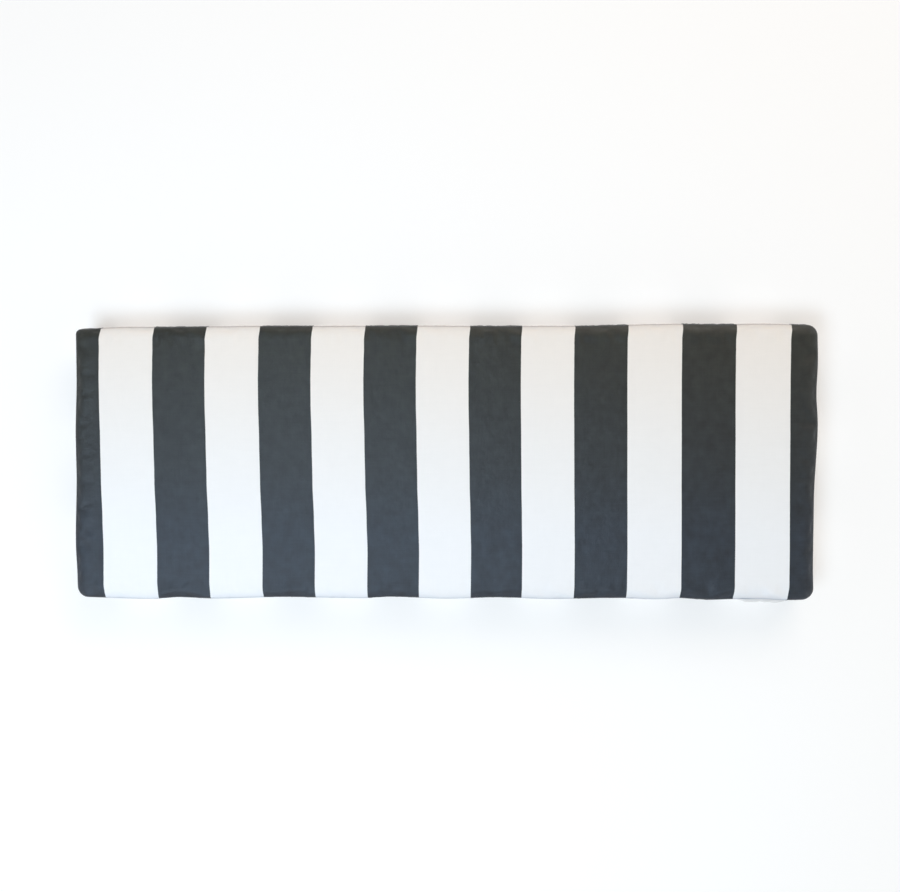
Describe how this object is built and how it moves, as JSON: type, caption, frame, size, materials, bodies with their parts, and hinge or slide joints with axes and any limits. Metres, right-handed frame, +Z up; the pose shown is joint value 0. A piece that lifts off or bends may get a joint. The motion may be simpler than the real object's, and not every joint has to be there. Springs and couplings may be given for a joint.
{
  "type": "bench cushion",
  "caption": "Long boxed bench cushion in broad-striped canvas, with a softly crowned face, sewn boxing sides and a flat base, to sit on a bench or window seat.",
  "frame": {"origin": "centre of the bounding box, on the flat base panel that the cushion rests on", "axes": "+X along the length, towards the right-hand end; +Y from the front edge to the back edge; +Z up through the face"},
  "size_m": [1.2578, 0.4716, 0.0799],
  "materials": {
    "panel_canvas": "matt woven canvas, white with broad charcoal stripes running front to back",
    "boxing_canvas": "matt woven canvas, charcoal with broad white stripes running up and down"
  },
  "bodies": {
    "root": {"cushion": "panel_canvas", "boxing_front": "boxing_canvas", "boxing_right": "boxing_canvas", "boxing_back": "boxing_canvas", "boxing_left": "boxing_canvas"}
  },
  "joints": []
}
